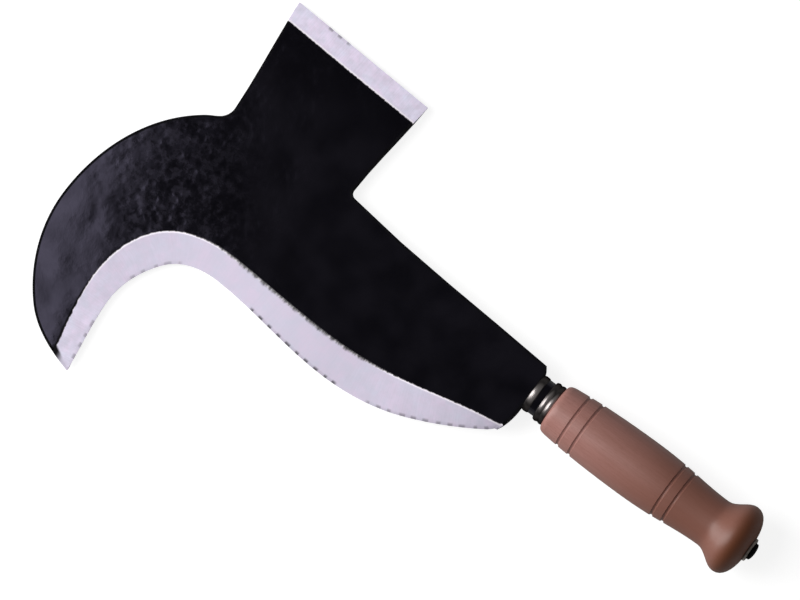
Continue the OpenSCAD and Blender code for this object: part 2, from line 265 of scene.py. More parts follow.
class BillhookStage(bpy.types.PropertyGroup):
    """Camera, floor and light."""

    frame_width: FloatProperty(
        name="Frame width", description="Width of the picture at the blade",
        default=0.39854, min=0.01, max=1.0, unit="LENGTH",
    )
    frame_turn: FloatProperty(
        name="Frame turn", description="Slope of the handle in the picture",
        default=math.radians(36.086), min=0.0, max=math.pi, subtype="ANGLE",
    )
    centre_along: FloatProperty(
        name="Centre along", description="Middle of the picture, along the handle from the shoulders",
        default=0.08085, min=-0.3, max=0.3, unit="LENGTH",
    )
    centre_across: FloatProperty(
        name="Centre across", description="Middle of the picture, across from the handle's axis",
        default=0.00213, min=-0.3, max=0.3, unit="LENGTH",
    )
    camera_lean: FloatProperty(
        name="Camera lean", description="Lean of the camera over the handle, from straight over the blade",
        default=math.radians(5.64), min=-math.pi / 4, max=math.pi / 4, subtype="ANGLE",
    )
    lens: FloatProperty(
        name="Lens", description="Focal length of the camera, in millimetres",
        default=600.0, min=35.0, max=800.0,
    )
    floor_colour: FloatVectorProperty(
        name="Floor", description="Share of the lit floor that the camera sees on top of its white",
        default=(0.3, 0.3, 0.3), min=0.0, max=1.0, subtype="COLOR", size=3,
    )
    floor_bounce: FloatVectorProperty(
        name="Floor bounce", description="Colour of the light that the floor throws back",
        default=(0.5, 0.5, 0.5), min=0.0, max=1.0, subtype="COLOR", size=3,
    )
    floor_white: FloatProperty(
        name="Floor white", description="Level of plain white in the floor as the camera sees it",
        default=0.85, min=0.0, max=1.0, subtype="FACTOR",
    )
    world_level: FloatProperty(
        name="World level", description="Strength of the even light all round",
        default=0.19, min=0.0, max=2.0,
    )
    key_power: FloatProperty(
        name="Key light", description="Power of the large soft light",
        default=27.1, min=0.0, max=100.0, unit="POWER",
    )
    key_turn: FloatProperty(
        name="Key turn", description="Direction of the soft light in the picture, from the left to the top",
        default=math.radians(15.0), min=-math.pi, max=math.pi, subtype="ANGLE",
    )
    key_lean: FloatProperty(
        name="Key lean", description="Lean of the soft light from straight over the blade",
        default=math.radians(52.0), min=0.0, max=math.pi / 2, subtype="ANGLE",
    )
    key_away: FloatProperty(
        name="Key distance", description="Distance of the soft light from the blade",
        default=1.2, min=0.1, max=4.0, unit="LENGTH",
    )
    key_width: FloatProperty(
        name="Key width", description="Width of the soft light",
        default=0.85, min=0.1, max=3.0, unit="LENGTH",
    )
    key_length: FloatProperty(
        name="Key length", description="Length of the soft light from over the blade to the floor",
        default=1.955, min=0.1, max=3.0, unit="LENGTH",
    )


def sizes():
    """Sizes that the scene holds."""
    return bpy.context.scene.billhook_sizes


def colours():
    """Colours that the scene holds."""
    return bpy.context.scene.billhook_colours


def stage():
    """Values of the stage that the scene holds."""
    return bpy.context.scene.billhook_stage


# Shader nodes

def plug(tree, value, socket):
    """Links an output to a socket, or sets the socket's own value."""
    if isinstance(value, bpy.types.NodeSocket):
        tree.links.new(value, socket)
    else:
        socket.default_value = value


def add(tree, kind, inputs=None, **settings):
    """A shader node with its settings, and with values or links put into its inputs."""
    made = tree.nodes.new(kind)
    for key, value in settings.items():
        setattr(made, key, value)
    for socket, value in (inputs or {}).items():
        plug(tree, value, made.inputs[socket])
    return made


def maths(tree, operation, a, b=0.0):
    """Result of a Math node."""
    return add(tree, "ShaderNodeMath", {0: a, 1: b}, operation=operation).outputs[0]


def times(tree, a, b):
    """Product of two values."""
    return maths(tree, "MULTIPLY", a, b)


def mix(tree, factor, a, b, kind="RGBA"):
    """Blend of two colours, or of two values if the kind is VALUE."""
    made = add(tree, "ShaderNodeMix", data_type="RGBA" if kind == "RGBA" else "FLOAT")
    plug(tree, factor, made.inputs["Factor"])
    for name, value in (("A", a), ("B", b)):
        plain = kind == "RGBA" and not isinstance(value, bpy.types.NodeSocket)
        socket = next(s for s in made.inputs if s.name == name and s.type == kind)
        plug(tree, (*value, 1.0) if plain else value, socket)
    return next(s for s in made.outputs if s.type == kind)


def ramp(tree, value, low, high, to_low=0.0, to_high=1.0):
    """Value that goes smoothly from one level to another while the given one goes from low to high."""
    inputs = {"Value": value, "From Min": low, "From Max": high, "To Min": to_low, "To Max": to_high}
    return add(tree, "ShaderNodeMapRange", inputs, interpolation_type="SMOOTHSTEP").outputs["Result"]


def band(tree, value, stretch, inside=1.0, outside=0.0):
    """Level inside and outside a stretch of the given value, which has a soft start and a soft end."""
    start, end = stretch
    return times(tree, ramp(tree, value, *start, outside, 1.0), ramp(tree, value, *end, inside, outside))


def noise(tree, vector, scale, detail=3.0, roughness=0.55):
    """Value of a noise texture."""
    inputs = {"Vector": vector, "Scale": scale, "Detail": detail, "Roughness": roughness}
    return add(tree, "ShaderNodeTexNoise", inputs).outputs["Fac"]


def bump(tree, height, distance, strength=1.0, normal=None):
    """Normal of a bumpy surface, on top of another normal if one is given."""
    made = add(tree, "ShaderNodeBump", {"Height": height, "Strength": strength, "Distance": distance})
    if normal is not None:
        plug(tree, normal, made.inputs["Normal"])
    return made.outputs["Normal"]


def split(tree, vector):
    """The three parts of a vector."""
    return add(tree, "ShaderNodeSeparateXYZ", {0: vector}).outputs


def join(tree, x=0.0, y=0.0, z=0.0):
    """A vector of three parts."""
    return add(tree, "ShaderNodeCombineXYZ", {"X": x, "Y": y, "Z": z}).outputs[0]


def tinted(tree, colour, tint):
    """A colour multiplied by another."""
    return add(tree, "ShaderNodeVectorMath", {0: colour, 1: tint}, operation="MULTIPLY").outputs[0]


def scaled(colour, factor):
    """A plain colour made darker or lighter."""
    return [min(1.0, c * factor) for c in colour]


def laid_out(tree, uv_map):
    """The parts of a UV map: along the edge and away from a border."""
    return split(tree, add(tree, "ShaderNodeUVMap", uv_map=uv_map).outputs["UV"])


def bench_coordinates(tree):
    """Object coordinates turned into the tool frame."""
    made = add(tree, "ShaderNodeMapping", {"Vector": add(tree, "ShaderNodeTexCoord").outputs["Object"]})
    made.inputs["Location"].default_value = BENCH.translation
    made.inputs["Rotation"].default_value = BENCH.to_euler()
    return made.outputs["Vector"]


def new_group(name, inputs, outputs):
    """Node group with named sockets: (group, outputs of its input node, inputs of its output node)."""
    group = bpy.data.node_groups.new(name, "ShaderNodeTree")
    for socket, kind in inputs.items():
        group.interface.new_socket(socket, in_out="INPUT", socket_type="NodeSocket" + kind)
    for socket, kind in outputs.items():
        group.interface.new_socket(socket, in_out="OUTPUT", socket_type="NodeSocket" + kind)
    return group, group.nodes.new("NodeGroupInput").outputs, group.nodes.new("NodeGroupOutput").inputs


def use_group(tree, maker, inputs):
    """Outputs of a shared node group in a material, which is made when it is first used."""
    group = bpy.data.node_groups.get(maker.__name__) or maker()
    return add(tree, "ShaderNodeGroup", inputs, node_tree=group).outputs


def streaks():
    """Long thin marks along X of the vector: grinding lines, wood grain and polishing lines."""
    tree, given, out = new_group(
        "streaks", {"Vector": "Vector", "Width": "Float", "Length": "Float"}, {"Streaks": "Float"}
    )
    x, y, z = split(tree, given["Vector"])
    along = maths(tree, "DIVIDE", x, given["Length"])
    across = maths(tree, "DIVIDE", y, given["Width"])
    over = maths(tree, "DIVIDE", z, given["Width"])
    found = noise(tree, join(tree, along, across, over), 1.0, detail=2.0, roughness=0.6)
    plug(tree, ramp(tree, found, 0.28, 0.72), out["Streaks"])
    return tree


def mottle():
    """Uneven patches in two sizes: scale under lacquer, and tone in steel and wood."""
    tree, given, out = new_group(
        "mottle", {"Vector": "Vector", "Size": "Float", "Fine Share": "Float"}, {"Patches": "Float"}
    )
    per_size = maths(tree, "DIVIDE", 1.0, given["Size"])
    spread = add(tree, "ShaderNodeVectorMath", {0: given["Vector"], "Scale": per_size}, operation="SCALE")
    broad = noise(tree, spread.outputs["Vector"], 0.35, detail=2.0)
    fine = noise(tree, spread.outputs["Vector"], 1.0, detail=4.0, roughness=0.6)
    mixed = mix(tree, given["Fine Share"], broad, fine, "VALUE")
    plug(tree, ramp(tree, mixed, 0.3, 0.7), out["Patches"])
    return tree


def lacquer():
    """Black lacquer over forge scale: colour, roughness and normal."""
    tree, given, out = new_group(
        "lacquer", {"Vector": "Vector", "Pit": "Float"},
        {"Color": "Color", "Roughness": "Float", "Normal": "Vector"},
    )
    vector = given["Vector"]
    along, across, _ = split(tree, vector)
    per_pit = maths(tree, "DIVIDE", 1.0, given["Pit"])
    waves = noise(tree, vector, times(tree, per_pit, 0.2), detail=1.0)
    broad = times(tree, given["Pit"], 1.4)
    patches = use_group(tree, mottle, {"Vector": vector, "Size": broad, "Fine Share": 0.5})[0]
    # Painted shade: the axe bit, on the far side of the handle's axis, shows the least scale and is darker.
    thin = mix(tree, 0.35, ramp(tree, waves, 0.25, 0.75), patches, "VALUE")
    thin = times(tree, thin, ramp(tree, across, *AXE_SHADE_END, 0.1, 1.0))
    # On the crown, before the beak, the lacquer is thick but worn off the scale in spots.
    round_hook = maths(tree, "ADD", along, times(tree, across, ROUND_SHARE))
    crown = band(tree, round_hook, WORN)
    thin = times(tree, thin, ramp(tree, crown, 0.0, 0.5, 1.0, 0.1))
    spots = noise(tree, vector, times(tree, per_pit, 0.9), detail=4.0, roughness=0.6)
    spots = times(tree, ramp(tree, spots, 0.42, 0.7), crown)
    coat = mix(tree, thin, colours().lacquer, colours().scale)
    plug(tree, mix(tree, spots, coat, scaled(colours().scale, 2.6)), out["Color"])
    plug(tree, ramp(tree, patches, 0.0, 1.0, 0.105, 0.06), out["Roughness"])
    # The pits are deepest before the beak.
    cells = {"Vector": vector, "Scale": times(tree, per_pit, 0.8), "Smoothness": 0.5}
    pits = add(tree, "ShaderNodeTexVoronoi", cells, feature="SMOOTH_F1").outputs["Distance"]
    deep = times(tree, band(tree, along, PITTED, outside=0.3), ramp(tree, across, *PITS_END, 1.0, 0.2))
    holes = times(tree, ramp(tree, pits, 0.15, 0.6), deep)
    fine = noise(tree, vector, times(tree, per_pit, 5.0))
    normal = None
    for height, distance in (
        (waves, WAVE_HEIGHT), (patches, PATCH_HEIGHT), (holes, PIT_HEIGHT), (fine, FINE_HEIGHT)
    ):
        normal = bump(tree, height, distance, normal=normal)
    plug(tree, normal, out["Normal"])
    return tree


def new_material(name, **constants):
    """A material with its Principled shader, and the shader's plain values."""
    material = bpy.data.materials.new(name)
    material.use_nodes = True
    shader = material.node_tree.nodes["Principled BSDF"]
    for socket, value in constants.items():
        shader.inputs[socket.replace("_", " ")].default_value = value
    return material, material.node_tree, shader.inputs


# Finishes

def black_lacquer():
    """Lacquer on the cheeks of the blade and on the collar's neck."""
    material, tree, shader = new_material(
        "black lacquer", Specular_IOR_Level=0.215, Specular_Tint=(0.75, 0.69, 1.0, 1.0)
    )
    coat = use_group(tree, lacquer, {"Vector": bench_coordinates(tree), "Pit": sizes().pit})
    plug(tree, coat["Color"], shader["Base Color"])
    plug(tree, coat["Roughness"], shader["Roughness"])
    plug(tree, coat["Normal"], shader["Normal"])
    return material


def forge_black():
    """Dull scale on the spine and its rounded edges, and on the head of the tang."""
    material, tree, shader = new_material("forge black", Specular_IOR_Level=0.03)
    bench = bench_coordinates(tree)
    patches = use_group(tree, mottle, {"Vector": bench, "Size": sizes().pit, "Fine Share": 0.6})[0]
    plug(tree, mix(tree, patches, colours().lacquer, colours().scale), shader["Base Color"])
    plug(tree, ramp(tree, patches, 0.0, 1.0, 0.5, 0.65), shader["Roughness"])
    plug(tree, bump(tree, patches, 0.0001, 0.5), shader["Normal"])
    return material


def ground_tone(tree, bench, along, from_line, scratches):
    """Colour of the grinding, with bluish and pinkish patches and fine lines."""
    patches = use_group(tree, mottle, {"Vector": bench, "Size": 0.003, "Fine Share": 0.5})[0]
    aside = add(tree, "ShaderNodeVectorMath", {0: bench, 1: (0.5, 0.5, 0.5)}).outputs["Vector"]
    tints = use_group(tree, mottle, {"Vector": aside, "Size": 0.0035, "Fine Share": 0.4})[0]
    steel = colours().steel
    dull, bright, line_highlight = scaled(steel, 0.79), scaled(steel, 1.33), scaled(steel, 1.5)
    # The beak and the axe bit, which is laid out before the start, are painted brightest, as painted light
    # that makes up for the key light falling off on their bevels; the belly is ground dullest.
    painted_light_share = maths(tree, "MAXIMUM", ramp(tree, along, *BEAK_START), ramp(tree, along, *AXE_END, 1.0, 0.0))
    tired = band(tree, along, DULLEST, inside=0.85)
    tone = mix(tree, tired, mix(tree, painted_light_share, steel, bright), dull)
    cool = tinted(tree, tone, (0.94, 0.985, 0.99))
    warm = tinted(tree, tone, (1.06, 0.97, 1.01))
    tone = mix(tree, tints, cool, warm)
    tone = mix(tree, times(tree, patches, 0.45), tone, dull)
    tone = mix(tree, times(tree, scratches, 0.2), tone, dull)
    # Painted highlight: a bright line along the bevel line.
    return mix(tree, ramp(tree, from_line, 0.0006, 0.0016, 0.8, 0.0), tone, line_highlight)


def edge_nicks(tree, along, from_edge):
    """Share of the painted shade along the cutting edge, in dark dashes that look like nicks."""
    shaded_stretch = 0.0
    for first, last, strength in SHADED_EDGE:
        stretch = (first - DASH_FADE, first), (last, last + DASH_FADE)
        shaded_stretch = maths(tree, "MAXIMUM", shaded_stretch, band(tree, along, stretch, inside=strength))
    jitter = noise(tree, join(tree, along), 120.0, detail=1.0)
    phase = times(tree, maths(tree, "DIVIDE", along, DASH_STEP), math.tau)
    dashes = maths(tree, "SINE", maths(tree, "ADD", phase, times(tree, jitter, 5.0)))
    # Painted shade: dark dashes right at the cutting edge.
    near = ramp(tree, from_edge, 0.0005, 0.002, 1.0, 0.0)
    worn = times(tree, near, ramp(tree, dashes, -0.1, 0.7, 0.2, 1.0))
    return times(tree, worn, shaded_stretch)


def bare_share(tree, along, from_line, from_edge, from_back):
    """Share of bare steel, where the lacquer doesn't reach over the bevel."""
    # The lacquer frays along the belly and reaches further at the tip.
    belly = band(tree, along, FRAYED)
    reach = mix(tree, belly, sizes().neat, sizes().fray, "VALUE")
    soft = mix(tree, belly, 0.0003, 0.0012, "VALUE")
    spread = join(tree, times(tree, from_line, 0.3), along)
    teeth = noise(tree, spread, 420.0, detail=4.0, roughness=0.65)
    edge = times(tree, reach, ramp(tree, teeth, 0.25, 0.75))
    edge = maths(tree, "ADD", edge, ramp(tree, along, *TIP_START, 0.0, 0.0008))
    inner = maths(tree, "SUBTRACT", from_line, edge)
    bare = ramp(tree, inner, times(tree, soft, -1.0), times(tree, soft, 1.3))
    bare = maths(tree, "POWER", bare, 2.0)
    # The dark back of the beak narrows down to the tip.
    narrow = maths(tree, "SUBTRACT", from_back, times(tree, from_edge, 0.2))
    back = ramp(tree, narrow, 0.0, 0.0014, 1.0, 0.0)
    back = times(tree, back, ramp(tree, from_edge, 0.004, 0.009, 0.1, 1.0))
    return times(tree, bare, maths(tree, "SUBTRACT", 1.0, back))


def ground_steel():
    """Steel ground across the edge, with the lacquer left in teeth where the grinding starts."""
    material, tree, shader = new_material("ground steel", Specular_IOR_Level=0.3)
    bench = bench_coordinates(tree)
    along, from_line, _ = laid_out(tree, FROM_LINE)
    from_edge = laid_out(tree, FROM_EDGE)["Y"]
    from_back = laid_out(tree, FROM_BACK)["Y"]
    across = join(tree, from_line, along)
    scratches = use_group(tree, streaks, {"Vector": across, "Width": 0.0004, "Length": 0.02})[0]
    tone = ground_tone(tree, bench, along, from_line, scratches)
    # Painted shade in dark dashes along the cutting edge.
    tone = mix(tree, edge_nicks(tree, along, from_edge), tone, scaled(colours().steel, 0.1))
    bare = bare_share(tree, along, from_line, from_edge, from_back)
    coat = use_group(tree, lacquer, {"Vector": bench, "Pit": sizes().pit})
    plug(tree, mix(tree, bare, coat["Color"], tone), shader["Base Color"])
    rough = ramp(tree, scratches, 0.0, 1.0, 0.5, 0.62)
    plug(tree, mix(tree, bare, coat["Roughness"], rough, "VALUE"), shader["Roughness"])
    plug(tree, times(tree, bare, 0.3), shader["Metallic"])
    plug(tree, bump(tree, scratches, 0.0001, 0.12), shader["Normal"])
    return material


def polished_plating():
    """Polished plating of the fittings, with fine lines round them."""
    material, tree, shader = new_material(
        "polished plating", Metallic=1.0, Specular_Tint=(0.25, 0.25, 0.25, 1.0)
    )
    bench = bench_coordinates(tree)
    x, y, z = split(tree, bench)
    around = times(tree, maths(tree, "ARCTAN2", z, y), FITTING_RADIUS)
    lines = {"Vector": join(tree, around, x), "Width": 0.0002, "Length": 0.01}
    rings = use_group(tree, streaks, lines)[0]
    patches = use_group(tree, mottle, {"Vector": bench, "Size": 0.003, "Fine Share": 0.5})[0]
    plating = colours().plating
    tone = mix(tree, times(tree, patches, 0.25), plating, scaled(plating, 0.6))
    # Painted dark reflection: the base colour darkens where the plating is seen at a slant, in place of dark
    # surroundings mirrored in its sides.
    facing = add(tree, "ShaderNodeLayerWeight", {"Blend": 0.5}).outputs["Facing"]
    painted_dark_reflection = ramp(tree, facing, 0.02, 0.25, 0.0, 0.92)
    plug(tree, mix(tree, painted_dark_reflection, tone, scaled(plating, 0.1)), shader["Base Color"])
    plug(tree, ramp(tree, patches, 0.0, 1.0, 0.31, 0.4), shader["Roughness"])
    plug(tree, bump(tree, rings, 0.00003, 0.05), shader["Normal"])
    return material


def washer_steel():
    """Plain steel of the washer."""
    material, tree, shader = new_material("washer steel", Metallic=0.9)
    bench = bench_coordinates(tree)
    patches = use_group(tree, mottle, {"Vector": bench, "Size": 0.002, "Fine Share": 0.6})[0]
    plain = colours().washer
    plug(tree, mix(tree, patches, plain, scaled(plain, 0.5)), shader["Base Color"])
    plug(tree, ramp(tree, patches, 0.0, 1.0, 0.35, 0.6), shader["Roughness"])
    plug(tree, bump(tree, patches, 0.0001, 0.2), shader["Normal"])
    return material


def turned_wood(grooves, butt):
    """Satin lacquered beech: grain and flecks along the handle, with painted shade in the grooves and dark
    end grain that is partly painted shade.
    """
    material, tree, shader = new_material(
        "turned beech", Specular_IOR_Level=0.35, Coat_Roughness=0.3, Coat_IOR=1.45
    )
    bench = bench_coordinates(tree)
    along = split(tree, bench)["X"]
    width = sizes().grain
    grain = use_group(tree, streaks, {"Vector": bench, "Width": width, "Length": width * 30})[0]
    flecks = use_group(tree, streaks, {"Vector": bench, "Width": width * 0.4, "Length": width * 3})[0]
    drawn = add(tree, "ShaderNodeMapping", {"Vector": bench, "Scale": (0.35, 1.0, 1.0)}).outputs["Vector"]
    patches = use_group(tree, mottle, {"Vector": drawn, "Size": 0.012, "Fine Share": 0.3})[0]
    late = colours().late_wood
    tone = mix(tree, times(tree, patches, 0.4), colours().wood, late)
    tone = mix(tree, times(tree, grain, 0.25), tone, late)
    tone = mix(tree, ramp(tree, flecks, 0.7, 1.0, 0.0, 0.3), tone, late)
    # The wood darkens from the front to the waist, and more on the end grain past the widest part: dark end
    # grain, partly painted shade on the end that turns from the key light.
    rear = ramp(tree, along, butt + REAR[0], butt + REAR[1], 0.84, 0.0)
    tone = mix(tree, rear, tone, late)
    end_grain_shade_mask = ramp(tree, along, butt + END_GRAIN_AND_SHADE[0], butt + END_GRAIN_AND_SHADE[1], 1.0, 0.0)
    tone = mix(tree, times(tree, end_grain_shade_mask, 0.8), tone, colours().end_grain)
    # Painted shade: the grooves are coloured darker where shade falls in them.
    marks = 0.0
    for groove in grooves:
        away = maths(tree, "ABSOLUTE", maths(tree, "SUBTRACT", along, groove))
        mark = ramp(tree, away, 0.0, sizes().groove_mark, 1.0, 0.0)
        marks = maths(tree, "MAXIMUM", marks, mark)
    tone = mix(tree, times(tree, marks, 0.2), tone, colours().groove)
    plug(tree, tone, shader["Base Color"])
    plug(tree, ramp(tree, patches, 0.0, 1.0, 0.45, 0.55), shader["Roughness"])
    matt = maths(tree, "MAXIMUM", marks, end_grain_shade_mask)
    plug(tree, ramp(tree, matt, 0.0, 1.0, 0.2, 0.02), shader["Coat Weight"])
    normal = bump(tree, grain, 0.0002, 0.08)
    plug(tree, bump(tree, flecks, 0.0001, 0.05, normal), shader["Normal"])
    return material


# Modelling

def bench_copy(node):
    """Merged copy of a CAD node's mesh, in the tool frame."""
    bm = bmesh.new()
    bm.from_mesh(frame["nodes"][node].data)
    bmesh.ops.remove_doubles(bm, verts=bm.verts, dist=MERGE)
    bmesh.ops.transform(bm, matrix=BENCH, verts=bm.verts)
    return bm


def merge_flat(bm):
    """Merges faces that lie in one plane."""
    bmesh.ops.dissolve_limit(bm, angle_limit=FLAT, verts=bm.verts, edges=bm.edges)


def round_edges(bm, edges, radius, segments):
    """Rounds some edges of a mesh."""
    bmesh.ops.bevel(
        bm, geom=edges, offset=radius, offset_type="OFFSET", segments=segments, profile=0.5,
        affect="EDGES", material=-1, clamp_overlap=True,
    )


def shade(bm):
    """Smooth faces that meet in sharp edges where the surface turns a corner or the finish changes."""
    for face in bm.faces:
        face.smooth = True
    for edge in bm.edges:
        if len(edge.link_faces) == 2:
            ground = [face.material_index == GROUND for face in edge.link_faces]
            edge.smooth = ground[0] == ground[1] and edge.calc_face_angle() < SHARP


def put_in_scene(name, data):
    """A new object in the scene."""
    made = bpy.data.objects.new(name, data)
    bpy.context.scene.collection.objects.link(made)
    return made


def to_object(bm, name, materials):
    """A new object in the scene from a finished mesh."""
    mesh = bpy.data.meshes.new(name)
    bm.to_mesh(mesh)
    bm.free()
    for material in materials:
        mesh.materials.append(material)
    return put_in_scene(name, mesh)


def hand_over(bm, name, node, materials):
    """Puts a finished mesh in the scene in place of its CAD node."""
    bmesh.ops.transform(bm, matrix=TOOL, verts=bm.verts)
    for vert in bm.verts:
        # Smoothed outlines stay in the box of the solids.
        vert.co = [min(max(c, low), high) for c, low, high in zip(vert.co, *CAD_BOX)]
    piece = to_object(bm, name, materials)
    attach(piece, "root")
    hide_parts(node)
    return piece


def is_cheek(face):
    """Whether a face is one of the flat cheeks of the blade."""
    return face.calc_center_median().x > 0 and abs(face.normal.z) > CHEEK_UP


def mark_ground(bm):
    """Gives the ground bevels and the flats at the cutting edges their own material."""
    for face in bm.faces:
        if face.calc_center_median().x < 0:
            continue
        bevel = GROUND_UP < abs(face.normal.z) < CHEEK_UP
        thin = max(abs(v.co.z) for v in face.verts) < EDGE_FLAT
        if bevel or thin:
            face.material_index = GROUND


def spine_edges(bm):
    """Edges between the cheeks and the walls of the spine."""
    spine = []
    for edge in bm.edges:
        faces = edge.link_faces
        if len(faces) == 2 and all(f.material_index != GROUND for f in faces):
            if is_cheek(faces[0]) != is_cheek(faces[1]):
                spine.append(edge)
    return spine


def heading(edges, edge, vert):
    """Direction of the spine's outline at one end of an edge, out of the edge."""
    own = (vert.co - edge.other_vert(vert).co).to_2d().normalized()
    for other in vert.link_edges:
        if other is not edge and other in edges:
            onwards = (other.other_vert(vert).co - vert.co).to_2d().normalized()
            if own.angle(onwards) < CORNER:
                return (own + onwards).normalized()
    return own


def smooth_spine(bm):
    """Cuts the long facets of the spine's outline finer and lays the new points on smooth curves."""
    edges = set(spine_edges(bm))
    curves = []
    for edge in edges:
        if edge.calc_length() > LONG_FACET:
            a, b = edge.verts
            start, end = a.co.to_2d(), b.co.to_2d()
            arm = (end - start).length / 3
            hand_a = start - heading(edges, edge, a) * arm
            hand_b = end - heading(edges, edge, b) * arm
            fine = geometry.interpolate_bezier(start, hand_a, hand_b, end, CUTS + 1)
            curves.append((edge, a.co.copy(), b.co.copy(), fine))
    long_edges = [curve[0] for curve in curves]
    made = bmesh.ops.subdivide_edges(bm, edges=long_edges, cuts=CUTS - 1, use_grid_fill=True)
    for vert in made["geom_split"]:
        if isinstance(vert, bmesh.types.BMVert):
            for _, a, b, fine in curves:
                share = (vert.co - a).dot(b - a) / (b - a).length_squared
                if 0 < share < 1 and (a.lerp(b, share) - vert.co).length < MERGE:
                    vert.co.xy = fine[round(share * CUTS)]
                    break


def smooth_bevel_line(bm):
    """Evens out the small steps of the lines where the cheeks meet the bevels, each line by itself."""
    beside = {}
    for edge in bm.edges:
        faces = edge.link_faces
        if len(faces) == 2 and {f.material_index for f in faces} == {LACQUERED, GROUND}:
            if any(is_cheek(f) for f in faces):
                a, b = edge.verts
                beside.setdefault(a, []).append(b)
                beside.setdefault(b, []).append(a)
    inner = {vert: pair for vert, pair in beside.items() if len(pair) == 2}
    for _ in range(LINE_PASSES):
        middles = {vert: (a.co + b.co).to_2d() / 2 for vert, (a, b) in inner.items()}
        for vert, middle in middles.items():
            vert.co.xy = vert.co.to_2d().lerp(middle, 0.5)


def set_off_rim(bm):
    """Gives a narrow strip of the cheeks along the spine the finish of the spine: painted shade, a dull
    strip without sheen in place of a wider rounding of the edge.
    """
    broad = [f for f in bm.faces if is_cheek(f) or f.material_index == GROUND]
    made = bmesh.ops.inset_region(
        bm, faces=broad, thickness=sizes().rim, depth=0.0, use_boundary=True, use_even_offset=True
    )
    for face in made["faces"]:
        if face.material_index == LACQUERED:
            face.material_index = SPINE


def round_spine(bm):
    """Rounds the edges between the cheeks and the walls of the spine."""
    round_edges(bm, spine_edges(bm), sizes().spine_round, 3)
    for face in bm.faces:
        if face.material_index == LACQUERED and not is_cheek(face):
            face.material_index = SPINE


def at_cheek(vert):
    """Whether a vertex belongs to one of the cheeks."""
    return any(is_cheek(f) for f in vert.link_faces)


def at_wall(vert):
    """Whether a vertex belongs to the walls of the spine."""
    return any(f.material_index == SPINE and not is_cheek(f) for f in vert.link_faces)


def flat_path(verts, order):
    """Places of vertices in the plane of the blade, in order, each place once."""
    path = []
    for vert in sorted(verts, key=order):
        spot = vert.co.to_2d()
        if not path or (spot - path[-1]).length > MERGE:
            path.append(spot)
    return path


def nearest_on(path, spot):
    """(length along a path, distance from it) of the path's point nearest to a spot."""
    best = (0.0, FAR)
    run = 0.0
    for a, b in zip(path, path[1:]):
        step = b - a
        share = max(0.0, min(1.0, (spot - a).dot(step) / step.length_squared))
        gap = (a + step * share - spot).length
        if gap < best[1]:
            best = (run + share * step.length, gap)
        run += step.length
    return best


def lay_out_grinding(bm):
    """UV maps of the bevels in metres: U along the cutting edge, V from the bevel line, the edge or the
    back of the beak."""
    maps = [bm.loops.layers.uv.new(name) for name in (FROM_LINE, FROM_EDGE, FROM_BACK)]
    verts = {v for f in bm.faces if f.material_index == GROUND for v in f.verts}
    hook = [v for v in verts if v.co.y > 0]
    axe = [v for v in verts if v.co.y < 0]
    for bevel, order, shift in (
        (hook, lambda v: v.co.x + v.co.y, 0.0),
        (axe, lambda v: v.co.x, AXE_SHIFT),
    ):
        line = flat_path([v for v in bevel if at_cheek(v)], order)
        edge = flat_path([v for v in bevel if abs(v.co.z) < EDGE_FLAT], order)
        back = flat_path([v for v in bevel if v.co.y > TIP_ACROSS and at_wall(v)], order)
        for vert in bevel:
            spot = vert.co.to_2d()
            along = nearest_on(edge, spot)[0] + shift
            for uv_map, border in zip(maps, (line, edge, back)):
                away = nearest_on(border, spot)[1]
                for loop in vert.link_loops:
                    loop[uv_map].uv = (along, away)


def outer_rings(node):
    """Profile of a turned CAD node: (place along the axis, largest radius) of each of its rings."""
    spots = [BENCH @ v.co for v in frame["nodes"][node].data.vertices]
    rings = []
    for spot in sorted(spots, key=lambda spot: spot.x):
        if rings and spot.x - rings[-1].x < RING_GAP:
            rings[-1].y = max(rings[-1].y, spot.yz.length)
        else:
            rings.append(Vector((spot.x, spot.yz.length)))
    return rings


def smooth_profile(points):
    """Finer profile that runs smoothly through the points and keeps their corners."""
    lines = [(b - a).normalized() for a, b in zip(points, points[1:])]
    fine = [points[0]]
    for i, line in enumerate(lines):
        heads = [line, line]
        for end, other in ((0, i - 1), (1, i + 1)):
            if 0 <= other < len(lines) and line.angle(lines[other]) < CORNER:
                heads[end] = (line + lines[other]).normalized()
        a, b = points[i], points[i + 1]
        arm = (b - a).length / 3
        hand_a, hand_b = a + heads[0] * arm, b - heads[1] * arm
        fine += geometry.interpolate_bezier(a, hand_a, hand_b, b, PROFILE_STEPS + 1)[1:]
    return fine


def turn_anew(node):
    """Turns a fitting in the tool frame from the rings of its CAD node, with a finer profile."""
    outline = smooth_profile(outer_rings(node))
    ends = {outline[0].x, outline[-1].x}
    spots = [BENCH @ v.co for v in frame["nodes"][node].data.vertices]
    bore = max(r for r in (spot.yz.length for spot in spots) if r < BORE_SHARE * outline[0].y)
    bm = bmesh.new()
    profile = [Vector((min(ends), bore)), *outline, Vector((max(ends), bore))]
    verts = [bm.verts.new((spot.x, spot.y, 0.0)) for spot in profile]
    edges = [bm.edges.new(pair) for pair in zip(verts, verts[1:] + verts[:1])]
    bmesh.ops.spin(
        bm, geom=verts + edges, cent=(0.0, 0.0, 0.0), axis=(1.0, 0.0, 0.0), angle=math.tau, steps=FACETS,
        use_merge=True,
    )
    bmesh.ops.recalc_face_normals(bm, faces=bm.faces)
    return bm


def find_grooves():
    """Places of the handle's grooves along its axis: rings that lie a little under their neighbours."""
    near, far = GROOVE_REACH / 2, GROOVE_REACH * 2
    rings = outer_rings("handle")
    grooves = []
    for ring in rings:
        before = [r.y for r in rings if ring.x - far < r.x < ring.x - near]
        after = [r.y for r in rings if ring.x + near < r.x < ring.x + far]
        if before and after and GROOVE_LEAST < min(max(before), max(after)) - ring.y < GROOVE_MOST:
            if not grooves or ring.x - grooves[-1].x > GROOVE_REACH:
                grooves.append(ring)
            elif ring.y < grooves[-1].y:
                grooves[-1] = ring
    return [groove.x for groove in grooves]


